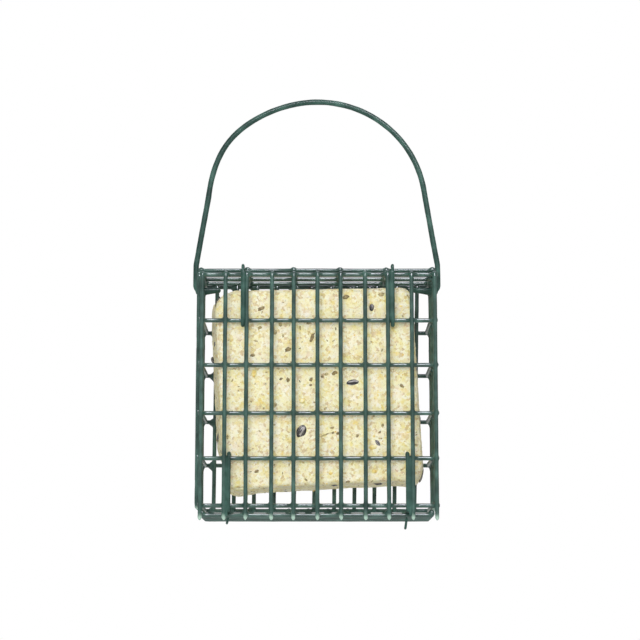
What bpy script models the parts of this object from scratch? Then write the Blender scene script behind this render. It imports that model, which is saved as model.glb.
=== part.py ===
"""Suet feeder: a hanging cage of plastic-coated welded wire with a block of suet in it.

Metres, +Z up, the door faces -Y. The origin is where the feeder hangs: the underside of the bail at
the top of its arch. The cage itself is drawn in cage coordinates, whose zero is the middle of the
bottom front wire, and every piece is then lowered so that the hanging point comes to the origin.
"""

import math

import bmesh
import bpy
from mathutils import Matrix, Vector

MM = 0.001

# Wire: steel rod with its plastic coat. Two crossing wires sink into each other where they are welded.
WIRE_RADIUS = 1.2 * MM
CLIP_WIRE_RADIUS = 1.1 * MM
BAIL_RADIUS = 1.5 * MM
WELD_DEPTH = 0.3 * MM
WIRE_SIDES = 8
GAP = 0.3 * MM
LAYER = 2 * WIRE_RADIUS - WELD_DEPTH
CLEAR_LAYER = 2 * WIRE_RADIUS + GAP

# Mesh: half-inch by one-inch cells.
HALF_INCH = 12.7 * MM
INCH = 25.4 * MM

# Cage: the wires of its edges, middle to middle.
CAGE_WIDTH = 129.2 * MM
CAGE_DEPTH = 3 * HALF_INCH
CAGE_HEIGHT = 134.1 * MM
FRONT_Y = -CAGE_DEPTH / 2
BACK_Y = CAGE_DEPTH / 2
DEPTH_WIRES_Y = [FRONT_Y + HALF_INCH * i for i in range(4)]

# Crosswise wires of the door and the back, counted from the bottom. Two were welded a little low.
LOWEST_CROSS_Z = 5.05 * MM
HIGHEST_CROSS_Z = 131.4 * MM
CROSS_COUNT = 6
CROSS_PITCH = 25.4 * MM
CROSS_OFF_PITCH = {2: -0.9 * MM, 4: -0.8 * MM}
CROSS_Z = [LOWEST_CROSS_Z + CROSS_PITCH * i + CROSS_OFF_PITCH.get(i, 0.0) for i in range(CROSS_COUNT - 1)]
CROSS_Z.append(HIGHEST_CROSS_Z)

# Door: hangs in front of the cage, a little to the right of its middle. Some of its uprights were
# welded a little off their pitch.
DOOR_UPRIGHTS = 11
DOOR_SHIFT_X = 1.0 * MM
DOOR_CROSS_Y = FRONT_Y - CLEAR_LAYER
DOOR_UPRIGHT_Y = DOOR_CROSS_Y - LAYER
DOOR_OFF_PITCH = {2: -1.1 * MM, 4: -0.8 * MM, 5: -0.6 * MM, 6: -0.6 * MM, 8: -0.3 * MM}
DOOR_UPRIGHTS_X = [
    DOOR_SHIFT_X + HALF_INCH * (i - 5) + DOOR_OFF_PITCH.get(i, 0.0) for i in range(DOOR_UPRIGHTS)
]
DOOR_BOTTOM_Z = -2.2 * MM
DOOR_TOP_Z = HIGHEST_CROSS_Z + 1.0 * MM
DOOR_CROSS_HALF = 64.7 * MM

# Back: behind the cage's rear wires, with closer uprights between the top and bottom panels.
BACK_UPRIGHTS = 11
BACK_PITCH = 11.4 * MM
BACK_SHIFT_X = -0.7 * MM
BACK_UPRIGHTS_X = [BACK_SHIFT_X + BACK_PITCH * (i - 5) for i in range(BACK_UPRIGHTS)]
BACK_CROSS_Y = BACK_Y + CLEAR_LAYER
BACK_UPRIGHT_Y = BACK_CROSS_Y - LAYER
BACK_CROSS_HALF = 64.6 * MM
BACK_HIGHEST_CROSS_Z = 132.4 * MM
BACK_CROSS_Z = CROSS_Z[:-1] + [BACK_HIGHEST_CROSS_Z]

# Top and bottom panels. The short wires of the top one are pressed deep into the long ones.
LONG_WIRE_HALF = CAGE_WIDTH / 2 - WIRE_RADIUS - GAP
TOP_WELD_DEPTH = 0.9 * MM
TOP_SHORT_Z = CAGE_HEIGHT + 2 * WIRE_RADIUS - TOP_WELD_DEPTH
BOTTOM_SHORT_Z = LAYER
TOP_SHORT_X = [INCH * (i - 2.5) for i in range(6)]
BOTTOM_OUTER_X = 61.8 * MM
BOTTOM_SHORT_X = [-BOTTOM_OUTER_X] + TOP_SHORT_X[1:5] + [BOTTOM_OUTER_X]
SHORT_WIRE_OVERHANG = 1.55 * MM
SHORT_WIRE_HALF = CAGE_DEPTH / 2 + SHORT_WIRE_OVERHANG
BACK_BOTTOM_Z = BOTTOM_SHORT_Z + WIRE_RADIUS + GAP
BACK_TOP_Z = CAGE_HEIGHT - WIRE_RADIUS - GAP

# Side panels: uprights outside, short wires inside them.
SIDE_X = CAGE_WIDTH / 2
SIDE_SHORT_X = SIDE_X - LAYER
SIDE_BOTTOM_Z = 3.3 * MM
SIDE_TOP_Z = 133.9 * MM
SIDE_TOP_SHORT_Z = 129.5 * MM
SIDE_SHORT_Z = CROSS_Z[:-1] + [SIDE_TOP_SHORT_Z]
SIDE_SHORT_OVERHANG = 1.15 * MM
SIDE_SHORT_HALF = CAGE_DEPTH / 2 + SIDE_SHORT_OVERHANG

# Bail: feet along X under the top short wires of the sides, straight legs, a slanted part, an arch.
FOOT_Z = SIDE_TOP_SHORT_Z - WIRE_RADIUS - GAP - BAIL_RADIUS
LEG_X = 67.7 * MM
FOOT_END_X = 53.6 * MM
LEG_STRAIGHT = 14.5 * MM
ARCH_RADIUS = 61.2 * MM
ARCH_TOP_Z = 235.8 * MM
ARCH_SLANT = math.radians(9.6)
ARCH_LEAN_X = 0.4 * MM
FOOT_BEND = 2.6 * MM
SHOULDER_SWELL = 1.6 * MM
SHOULDER_ANGLE = math.radians(143)
SHOULDER_WIDTH = math.radians(20)

# Door furniture: clips over the bottom front wire, latches over the top front wire.
HINGE_Y = FRONT_Y
HINGE_Z = 0.0
HINGE_CLIP_X = {"left": -47.2 * MM, "right": 48.9 * MM}
CLIP_TAIL = 4.8 * MM
CLIP_TIP = 1.5 * MM
LATCH_X = {"left": -40.9 * MM, "right": 41.5 * MM}
EYE_PLAY = 0.05 * MM
EYE_RADIUS = WIRE_RADIUS + CLIP_WIRE_RADIUS + GAP + EYE_PLAY
EYE_END_DEGREES = 435
SHANK_LENGTH = 14 * MM
HOOK_BEND = 1.7 * MM
HOOK_Z = CAGE_HEIGHT + WIRE_RADIUS + CLIP_WIRE_RADIUS + GAP
HOOK_FLAT_Y = FRONT_Y + 1.0 * MM
HOOK_END_Y = FRONT_Y + 2.9 * MM
HOOK_RISE = 0.2 * MM

# Suet: a moulded block with sloping sides, gripped between the door and the back, sitting a little
# turned and raised. The feet of the bail press a dent into each of its upper corners.
CAKE_BACK_WIDTH = 115.4 * MM
CAKE_BACK_HEIGHT = 113.0 * MM
CAKE_FRONT_WIDTH = 108.0 * MM
CAKE_FRONT_HEIGHT = 108.6 * MM
CAKE_FRONT_X = 0.9 * MM
CAKE_FRONT_Z = -1.6 * MM
CAKE_FRONT_Y = -17.55 * MM
CAKE_BACK_Y = 17.9 * MM
CAKE_X = -0.3 * MM
CAKE_Z = 72.6 * MM
CAKE_TURN = math.radians(3.0)
CAKE_CORNERS = {"right_top": 7 * MM, "left_top": 11 * MM, "left_bottom": 11 * MM, "right_bottom": 8 * MM}
CAKE_CORNER_SIGNS = {"right_top": (1, 1), "left_top": (-1, 1), "left_bottom": (-1, -1), "right_bottom": (1, -1)}
CAKE_FRONT_EDGE = 1.6 * MM
CAKE_BACK_EDGE = 1.2 * MM
FOOT_DENT_PLAY = 0.5 * MM
FOOT_DENT_RADIUS = BAIL_RADIUS + FOOT_DENT_PLAY
FOOT_DENT_ROOM = 0.8 * MM

GREEN_COAT = (0.050, 0.127, 0.098, 1.0)
SUET = (0.86, 0.77, 0.45, 1.0)


def clear_scene():
    for thing in list(bpy.data.objects):
        bpy.data.objects.remove(thing, do_unlink=True)


def make_material(name, colour, roughness, metallic=0.0):
    material = bpy.data.materials.new(name)
    material.use_nodes = True
    shader = material.node_tree.nodes["Principled BSDF"]
    shader.inputs["Base Color"].default_value = colour
    shader.inputs["Roughness"].default_value = roughness
    shader.inputs["Metallic"].default_value = metallic
    material.diffuse_color = colour
    return material


def add_empty(name, place, parent=None):
    """An empty at a point in cage coordinates, or under its parent's point."""
    empty = bpy.data.objects.new(name, None)
    bpy.context.collection.objects.link(empty)
    empty.empty_display_size = 0.01
    empty["cage_point"] = place
    empty.parent = parent
    empty.location = Vector(place) - (Vector(parent["cage_point"]) if parent else Vector())
    return empty


def hang_on(thing, parent, origin=None):
    """Puts a piece drawn in cage coordinates under its parent, with its own origin where it turns."""
    parent_point = Vector(parent["cage_point"])
    origin = Vector(origin) if origin is not None else parent_point
    thing.data.transform(Matrix.Translation(-origin))
    thing.parent = parent
    thing.location = origin - parent_point


def add_mesh(name, bm, material):
    bmesh.ops.recalc_face_normals(bm, faces=bm.faces)
    mesh = bpy.data.meshes.new(name)
    bm.to_mesh(mesh)
    bm.free()
    mesh.materials.append(material)
    mesh.shade_smooth()
    mesh.set_sharp_from_angle(angle=math.radians(50))
    thing = bpy.data.objects.new(name, mesh)
    bpy.context.collection.objects.link(thing)
    return thing


def add_bar(bm, start, end, radius=WIRE_RADIUS):
    """A straight wire as a prism with a flat on each of the four sides where others are welded."""
    start, end = Vector(start), Vector(end)
    along = end - start
    corner_radius = radius / math.cos(math.pi / WIRE_SIDES)
    turned = Matrix.Rotation(math.pi / WIRE_SIDES, 4, "Z")
    aim = along.to_track_quat("Z", "Y").to_matrix().to_4x4()
    bmesh.ops.create_cone(
        bm,
        cap_ends=True,
        segments=WIRE_SIDES,
        radius1=corner_radius,
        radius2=corner_radius,
        depth=along.length,
        matrix=Matrix.Translation((start + end) / 2) @ aim @ turned,
    )


def make_as_cutter(thing):
    thing.hide_render = True
    thing.display_type = "WIRE"


def add_boolean(thing, other, operation):
    modifier = thing.modifiers.new(operation.title(), "BOOLEAN")
    modifier.operation = operation
    modifier.solver = "EXACT"
    modifier.object = other


def welded_panel(name, long_bars, cross_bars, material, parent):
    """A mesh panel: one layer of parallel wires welded to a second layer across it."""
    layers = []
    for label, bars in ((name, long_bars), (name + "_crossing", cross_bars)):
        bm = bmesh.new()
        for start, end in bars:
            add_bar(bm, start, end)
        layers.append(add_mesh(label, bm, material))
    panel, crossing = layers
    hang_on(panel, parent)
    hang_on(crossing, parent)
    make_as_cutter(crossing)
    add_boolean(panel, crossing, "UNION")
    return panel


def arc(centre, radius, start_degrees, end_degrees, steps):
    """Points on an arc in a plane, angles counted from the first axis towards the second."""
    points = []
    for i in range(steps + 1):
        angle = math.radians(start_degrees + (end_degrees - start_degrees) * i / steps)
        points.append((centre[0] + radius * math.cos(angle), centre[1] + radius * math.sin(angle)))
    return points


def add_bent_wire(name, points, radius, material):
    """A round wire bent along the points, closed at both ends."""
    curve = bpy.data.curves.new(name, "CURVE")
    curve.dimensions = "3D"
    curve.bevel_depth = radius
    curve.bevel_resolution = 2
    curve.use_fill_caps = True
    curve.twist_mode = "MINIMUM"
    curve.materials.append(material)
    spline = curve.splines.new("POLY")
    spline.points.add(len(points) - 1)
    for knot, point in zip(spline.points, points):
        knot.co = (*point, 1.0)
    spline.use_smooth = True
    thing = bpy.data.objects.new(name, curve)
    bpy.context.collection.objects.link(thing)
    return thing


def bail_half(side):
    """The bail from its foot on one side up to just below the top of the arch."""
    points = [(side * FOOT_END_X, FOOT_Z), (side * (LEG_X - FOOT_BEND), FOOT_Z)]
    turn = arc((LEG_X - FOOT_BEND, FOOT_Z + FOOT_BEND), FOOT_BEND, -60, 0, 3)
    points += [(side * x, z) for x, z in turn]
    leg_top = FOOT_Z + LEG_STRAIGHT
    points.append((side * LEG_X, leg_top))
    centre_z = ARCH_TOP_Z - ARCH_RADIUS
    first = math.degrees(ARCH_SLANT)
    arch_start = (ARCH_RADIUS * math.cos(ARCH_SLANT), centre_z + ARCH_RADIUS * math.sin(ARCH_SLANT))
    for share in (0.15, 0.5, 0.85):
        x = LEG_X + (arch_start[0] - LEG_X) * share
        points.append((side * x, leg_top + (arch_start[1] - leg_top) * share))
    steps = 11
    for i in range(steps):
        angle = math.radians(first + (90 - first) * i / steps)
        from_right = angle if side > 0 else math.pi - angle
        swell = SHOULDER_SWELL * math.exp(-(((from_right - SHOULDER_ANGLE) / SHOULDER_WIDTH) ** 2))
        reach = ARCH_RADIUS + swell
        lean = ARCH_LEAN_X * math.sin(angle)
        points.append((side * reach * math.cos(angle) + lean, centre_z + reach * math.sin(angle)))
    return points


def bail_route():
    right = bail_half(1)
    left = bail_half(-1)
    outline = left + [(ARCH_LEAN_X, ARCH_TOP_Z)] + right[::-1]
    return [(x, 0.0, z) for x, z in outline]


def hinge_clip_route(x):
    """Hooks over a door wire, runs down the front, passes over the bottom front wire and hangs behind it."""
    ring = WIRE_RADIUS + CLIP_WIRE_RADIUS + GAP
    upper = (DOOR_CROSS_Y, CROSS_Z[1])
    lower = (DOOR_CROSS_Y, CROSS_Z[0])
    hinge = (HINGE_Y, HINGE_Z)
    apart = math.hypot(hinge[0] - lower[0], hinge[1] - lower[1])
    towards_hinge = math.degrees(math.atan2(hinge[1] - lower[1], hinge[0] - lower[0]))
    lean = math.degrees(math.acos(2 * ring / apart))
    leave = towards_hinge - lean
    outline = [(upper[0] + ring, upper[1] - CLIP_TIP)]
    outline += arc(upper, ring, 0, 180, 8)
    outline += arc(lower, ring, 180, 360 + leave, 5)
    outline += arc(hinge, ring, 180 + leave, 0, 5)
    outline.append((hinge[0] + ring, hinge[1] - CLIP_TAIL))
    return [(x, y, z) for y, z in outline]


def latch_route(x):
    """An eye round a door wire, a shank up the front of the door, and a hook back over the cage."""
    eye = (DOOR_CROSS_Y, CROSS_Z[4])
    shank_y = eye[0] - EYE_RADIUS
    outline = [(HOOK_END_Y, HOOK_Z + HOOK_RISE), (HOOK_FLAT_Y, HOOK_Z)]
    outline += arc((shank_y + HOOK_BEND, HOOK_Z - HOOK_BEND), HOOK_BEND, 90, 180, 4)
    outline += [(shank_y, eye[1] + SHANK_LENGTH)]
    outline += arc(eye, EYE_RADIUS, 180, EYE_END_DEGREES, 12)
    return [(x, y, z) for y, z in outline]


def cake_ring(bm, y, width, height, middle_x, middle_z):
    """One outline of the suet block: a square whose corners are rounded, each by its own size."""
    ring = []
    for name, (sx, sz) in CAKE_CORNER_SIGNS.items():
        size = CAKE_CORNERS[name]
        start = math.degrees(math.atan2(sz, sx)) - 45
        corner = arc((sx * (width / 2 - size), sz * (height / 2 - size)), size, start, start + 90, 3)
        ring += [bm.verts.new((middle_x + x, y, middle_z + z)) for x, z in corner]
    return ring


def add_cake(material, parent):
    """The suet block: narrower in front, as its mould lets it out, its edges rounded, turned a little."""
    bm = bmesh.new()
    front = cake_ring(bm, CAKE_FRONT_Y, CAKE_FRONT_WIDTH, CAKE_FRONT_HEIGHT, CAKE_FRONT_X, CAKE_FRONT_Z)
    back = cake_ring(bm, CAKE_BACK_Y, CAKE_BACK_WIDTH, CAKE_BACK_HEIGHT, 0.0, 0.0)
    bm.faces.new(front)
    bm.faces.new(back[::-1])
    for i, vert in enumerate(front):
        after = (i + 1) % len(front)
        bm.faces.new((vert, back[i], back[after], front[after]))
    for ring, edge_size, steps in ((front, CAKE_FRONT_EDGE, 3), (back, CAKE_BACK_EDGE, 1)):
        rim = [edge for edge in bm.edges if edge.verts[0] in ring and edge.verts[1] in ring]
        bmesh.ops.bevel(bm, geom=rim, offset=edge_size, segments=steps, profile=0.5, affect="EDGES")
    turn = Matrix.Rotation(-CAKE_TURN, 4, "Y")
    bmesh.ops.transform(bm, matrix=Matrix.Translation((CAKE_X, 0, CAKE_Z)) @ turn, verts=bm.verts)
    cake = add_mesh("suet_cake", bm, material)
    hang_on(cake, parent)
    for side in (-1, 1):
        dent_bm = bmesh.new()
        start = (side * (FOOT_END_X - FOOT_DENT_ROOM), 0, FOOT_Z)
        add_bar(dent_bm, start, (side * SIDE_X, 0, FOOT_Z), FOOT_DENT_RADIUS)
        dent = add_mesh("foot_dent_" + ("left" if side < 0 else "right"), dent_bm, material)
        hang_on(dent, parent)
        make_as_cutter(dent)
        add_boolean(cake, dent, "DIFFERENCE")
    return cake


def upright(x, y, bottom, top):
    return ((x, y, bottom), (x, y, top))


def crosswise(half, y, z, shift=0.0):
    return ((shift - half, y, z), (shift + half, y, z))


def short_wire(x, half, z):
    return ((x, -half, z), (x, half, z))


def build_cage(material, parent):
    welded_panel(
        "back_panel",
        [upright(x, BACK_UPRIGHT_Y, BACK_BOTTOM_Z, BACK_TOP_Z) for x in BACK_UPRIGHTS_X],
        [crosswise(BACK_CROSS_HALF, BACK_CROSS_Y, z) for z in BACK_CROSS_Z],
        material,
        parent,
    )
    for name, long_z, short_z, places in (
        ("top_panel", CAGE_HEIGHT, TOP_SHORT_Z, TOP_SHORT_X),
        ("bottom_panel", 0.0, BOTTOM_SHORT_Z, BOTTOM_SHORT_X),
    ):
        welded_panel(
            name,
            [crosswise(LONG_WIRE_HALF, y, long_z) for y in DEPTH_WIRES_Y],
            [short_wire(x, SHORT_WIRE_HALF, short_z) for x in places],
            material,
            parent,
        )
    for name, side in (("left_side_panel", -1), ("right_side_panel", 1)):
        welded_panel(
            name,
            [upright(side * SIDE_X, y, SIDE_BOTTOM_Z, SIDE_TOP_Z) for y in DEPTH_WIRES_Y],
            [short_wire(side * SIDE_SHORT_X, SIDE_SHORT_HALF, z) for z in SIDE_SHORT_Z],
            material,
            parent,
        )


def build_door(material, parent):
    welded_panel(
        "door_panel",
        [upright(x, DOOR_UPRIGHT_Y, DOOR_BOTTOM_Z, DOOR_TOP_Z) for x in DOOR_UPRIGHTS_X],
        [crosswise(DOOR_CROSS_HALF, DOOR_CROSS_Y, z, DOOR_SHIFT_X) for z in CROSS_Z],
        material,
        parent,
    )
    for side, x in HINGE_CLIP_X.items():
        clip = add_bent_wire("hinge_clip_" + side, hinge_clip_route(x), CLIP_WIRE_RADIUS, material)
        hang_on(clip, parent)
    for side, x in LATCH_X.items():
        latch = add_bent_wire("latch_" + side, latch_route(x), CLIP_WIRE_RADIUS, material)
        hang_on(latch, parent, (x, DOOR_CROSS_Y, CROSS_Z[4]))


def main():
    clear_scene()
    coat = make_material("green_plastic_coat", GREEN_COAT, 0.3)
    suet = make_material("suet_with_seeds", SUET, 0.75)
    hanging_point = (0.0, 0.0, ARCH_TOP_Z - BAIL_RADIUS)
    hanger = add_empty("hanging_point", hanging_point)
    hanger.location = (0.0, 0.0, 0.0)
    bail = add_bent_wire("bail", bail_route(), BAIL_RADIUS, coat)
    hang_on(bail, hanger, (0.0, 0.0, FOOT_Z))
    swing_axis = add_empty("swing_axis", (0.0, 0.0, FOOT_Z), hanger)
    door_axis = add_empty("door_axis", (0.0, HINGE_Y, HINGE_Z), swing_axis)
    build_cage(coat, swing_axis)
    build_door(coat, door_axis)
    add_cake(suet, swing_axis)
    bpy.context.view_layer.update()


main()
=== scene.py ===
import math
import random

import bmesh
import bpy
import numpy as np
from mathutils import Matrix, Vector, noise
from mathutils.bvhtree import BVHTree


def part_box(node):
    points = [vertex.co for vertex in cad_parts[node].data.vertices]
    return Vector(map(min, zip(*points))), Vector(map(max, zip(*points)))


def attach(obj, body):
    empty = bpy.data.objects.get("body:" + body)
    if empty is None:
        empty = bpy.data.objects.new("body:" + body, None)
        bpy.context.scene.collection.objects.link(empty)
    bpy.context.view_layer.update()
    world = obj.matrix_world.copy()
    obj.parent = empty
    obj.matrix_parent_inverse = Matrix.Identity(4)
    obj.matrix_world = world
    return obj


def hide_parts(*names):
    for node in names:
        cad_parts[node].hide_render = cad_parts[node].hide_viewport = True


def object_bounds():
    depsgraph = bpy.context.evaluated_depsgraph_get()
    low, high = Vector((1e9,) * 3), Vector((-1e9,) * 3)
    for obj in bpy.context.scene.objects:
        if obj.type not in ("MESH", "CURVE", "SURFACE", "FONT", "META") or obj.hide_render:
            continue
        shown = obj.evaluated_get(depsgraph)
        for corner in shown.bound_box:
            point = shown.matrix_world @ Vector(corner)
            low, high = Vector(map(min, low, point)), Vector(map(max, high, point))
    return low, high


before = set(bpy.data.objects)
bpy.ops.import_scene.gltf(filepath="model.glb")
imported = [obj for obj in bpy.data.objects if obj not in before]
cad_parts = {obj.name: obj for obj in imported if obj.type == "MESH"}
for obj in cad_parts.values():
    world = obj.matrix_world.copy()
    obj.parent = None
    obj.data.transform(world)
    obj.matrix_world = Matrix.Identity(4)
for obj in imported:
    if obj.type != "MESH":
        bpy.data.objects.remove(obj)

cad_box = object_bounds()

# Camera: a long lens about a metre in front of the door and below the cage, looking up at the hanging
# feeder a little, so that the undersides of the top wires show one behind another.
MM = 0.001
# The radius of the wire over its coat. Heights are counted from the middle of the cage's lowest wires.
WIRE_RADIUS = 1.2 * MM
CAGE_ZERO_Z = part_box("bottom_panel")[0].z + WIRE_RADIUS
DOOR_FRONT_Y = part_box("door_panel")[0].y
PICTURE_PIXELS = 640
PIXELS_PER_MM = 1.838
CAMERA_DISTANCE = 967 * MM
CAMERA_HEIGHT = -60 * MM
AIM_X = 1.8 * MM
AIM_HEIGHT = 105.5 * MM
# The sensor's width is in millimetres and the farthest thing seen in metres, as a camera takes them.
SENSOR_WIDTH = 36.0
FARTHEST_SEEN = 20.0


def add_object(name, data):
    """A new object in the scene, of a mesh, a camera or a lamp."""
    thing = bpy.data.objects.new(name, data)
    bpy.context.scene.collection.objects.link(thing)
    return thing


camera_place = Vector((AIM_X, DOOR_FRONT_Y - CAMERA_DISTANCE, CAGE_ZERO_Z + CAMERA_HEIGHT))
camera_aim = Vector((AIM_X, DOOR_FRONT_Y, CAGE_ZERO_Z + AIM_HEIGHT))
camera_data = bpy.data.cameras.new("camera")
camera_data.sensor_width = SENSOR_WIDTH
frame_width = PICTURE_PIXELS / PIXELS_PER_MM * MM
camera_data.lens = SENSOR_WIDTH * (camera_aim - camera_place).length / frame_width
camera_data.clip_end = FARTHEST_SEEN
camera = add_object("camera", camera_data)
camera.location = camera_place
camera.rotation_euler = (camera_aim - camera_place).to_track_quat("-Z", "Y").to_euler()
bpy.context.scene.camera = camera


# The coat: soft green vinyl that the finished wire mesh was dipped in and baked with.
# It is glossy and lumpy and a little thicker at the welds. Its lowest ends are painted pale: painted light,
# as if lit from below.
def linear(hex_colour):
    """An sRGB colour such as '#2F5D4E' as the linear colour that a shader takes."""
    parts = [int(hex_colour[i : i + 2], 16) / 255 for i in (1, 3, 5)]
    return [c / 12.92 if c <= 0.04045 else ((c + 0.055) / 1.055) ** 2.4 for c in parts] + [1.0]


def start_material(name):
    """A new material, its tree of nodes and its shader."""
    material = bpy.data.materials.new(name)
    material.use_nodes = True
    return material, material.node_tree, material.node_tree.nodes["Principled BSDF"]


def output(node):
    """The first of a node's outputs that its settings leave in use."""
    return next(s for s in node.outputs if s.enabled)


def add_node(tree, kind, inputs=None, stops=(), **settings):
    """Adds a node. An input takes a value, or a node or socket to be linked to it. A ramp takes stops."""
    node = tree.nodes.new(kind)
    for name, value in settings.items():
        setattr(node, name, value)
    for _ in stops[2:]:
        node.color_ramp.elements.new(1.0)
    for i, (place, hex_colour) in enumerate(stops):
        node.color_ramp.elements[i].position = place
        node.color_ramp.elements[i].color = linear(hex_colour)
    for name, value in (inputs or {}).items():
        if isinstance(name, int):
            socket = node.inputs[name]
        else:
            socket = next(s for s in node.inputs if s.enabled and s.name == name)
        if isinstance(value, bpy.types.Node):
            value = output(value)
        if isinstance(value, bpy.types.NodeSocket):
            tree.links.new(value, socket)
        else:
            socket.default_value = value
    return node


def dipped_vinyl(name, wetness, index):
    """Plastisol dip coat: deep green under a wet-looking skin, uneven in thickness, painted pale at low ends
    as if lit from below.
    """
    material, tree, shader = start_material(name)
    place = add_node(tree, "ShaderNodeTexCoord").outputs["Object"]
    # Thick and thin coat, in patches of about 8 mm: thin coat lets the dark steel show.
    patches = add_node(tree, "ShaderNodeTexNoise", {"Vector": place, "Scale": 1 / (8 * MM), "Detail": 3.0})
    green = add_node(
        tree,
        "ShaderNodeValToRGB",
        {"Fac": patches.outputs["Fac"]},
        stops=((0.3, "#28403A"), (0.5, "#37544C"), (0.7, "#486A60")),
    )
    # Painted light: where this attribute is set, the coat is painted a pale mint, as if lit from below.
    painted_underlight = add_node(tree, "ShaderNodeAttribute", attribute_name="painted_underlight")
    coat = add_node(
        tree,
        "ShaderNodeMix",
        {"Factor": painted_underlight.outputs["Fac"], "A": green.outputs["Color"], "B": linear("#A5C2B2")},
        data_type="RGBA",
    )
    tree.links.new(output(coat), shader.inputs["Base Color"])
    # Baked vinyl is glossy, duller in clouds of about 4 mm where it was handled.
    clouds = add_node(tree, "ShaderNodeTexNoise", {"Vector": place, "Scale": 1 / (4 * MM), "Detail": 3.0})
    dullness = add_node(
        tree, "ShaderNodeMapRange", {"Value": clouds.outputs["Fac"], "To Min": 0.35, "To Max": 0.6}
    )
    tree.links.new(dullness.outputs["Result"], shader.inputs["Roughness"])
    # Orange peel of the dip: lumps 1.6 mm across and less than 0.01 mm high.
    lumps = add_node(tree, "ShaderNodeTexNoise", {"Vector": place, "Scale": 1 / (1.6 * MM), "Detail": 1.0})
    peel = add_node(
        tree, "ShaderNodeBump", {"Height": lumps.outputs["Fac"], "Strength": 0.14, "Distance": 0.06 * MM}
    )
    tree.links.new(peel.outputs["Normal"], shader.inputs["Normal"])
    tree.links.new(peel.outputs["Normal"], shader.inputs["Coat Normal"])
    # The green itself hardly shines. The clear, hard skin that baking leaves on it does.
    shader.inputs["IOR"].default_value = index
    shader.inputs["Specular IOR Level"].default_value = 0.12
    shader.inputs["Coat Weight"].default_value = wetness
    shader.inputs["Coat Roughness"].default_value = 0.13
    shader.inputs["Coat IOR"].default_value = 1.6
    return material


vinyl = dipped_vinyl("dipped_green_vinyl", wetness=0.65, index=1.5)
# The bail and the bent fittings were handled and flexed, so their coat is rubbed to a dull satin.
rubbed_vinyl = dipped_vinyl("rubbed_green_vinyl", wetness=0.08, index=1.4)


# Back panel: eleven uprights welded to six crosswise wires, then dipped with the cage.
# Each wire is a drawn steel rod that is never quite straight, and the coat makes a web in every corner.
INCH = 25.4 * MM
UPRIGHTS = 11
MIDDLE_UPRIGHT = UPRIGHTS // 2
# Heights of the crosswise wires above the cage's lowest wires. Two of them were welded low.
FIRST_CROSS = 5.05 * MM
LOW_WELDS = {2: -0.9 * MM, 4: -0.8 * MM}
CROSS_HEIGHTS = [FIRST_CROSS + INCH * i + LOW_WELDS.get(i, 0.0) for i in range(5)]
BACK_TOP_CROSS = 132.4 * MM
# The back's uprights lean to the right and stand a little closer at the foot.
BACK_PITCH = 11.4 * MM
BACK_SHIFT = -0.7 * MM
BACK_LEAN = 0.9 * MM
BACK_TAPER = 0.985
# A wire: the rings that it is drawn with, how far and how slowly it wanders, how its coat swells and thins.
WIRE_STEP = 3.0 * MM
WIRE_SIDES = 12
WIRE_WOBBLE = 0.09 * MM
WANDER_LENGTH = 26 * MM
STILL_STEPS = 3
COAT_LUMPS = 0.06
LUMP_LENGTH = 7 * MM
END_RINGS = (0.95, 0.7, 0.35)
# The coat at a weld.
BLOB_RADIUS = (1.75 * MM, 2.05 * MM)
WEB_REACH = (2.2 * MM, 2.9 * MM)
WEB_THICKNESS = 1.0 * MM
WEB_END_ROOM = 0.5 * MM
# The skin that the coat makes, the radius that its smoothing takes off, and the share of its faces kept.
VOXEL = 0.48 * MM
SMOOTHING_LOSS = 0.03 * MM
KEPT_SHARE = 0.2
# Both draws are seeded, so each run gives the same wires, grain and seeds.
draw = random.Random(4)
noise.seed_set(4)


def along(points, step):
    """Points evenly spaced along a bent line, about a step apart."""
    rounding = 1e-9
    corners = [Vector(p) for p in points]
    reach = [0.0]
    for a, b in zip(corners, corners[1:]):
        reach.append(reach[-1] + (b - a).length)
    count = max(2, round(reach[-1] / step))
    places = []
    for i in range(count + 1):
        want = reach[-1] * i / count
        k = min(max(j for j, r in enumerate(reach) if r <= want + rounding), len(corners) - 2)
        share = (want - reach[k]) / (reach[k + 1] - reach[k])
        places.append(corners[k].lerp(corners[k + 1], share))
    return places


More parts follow.
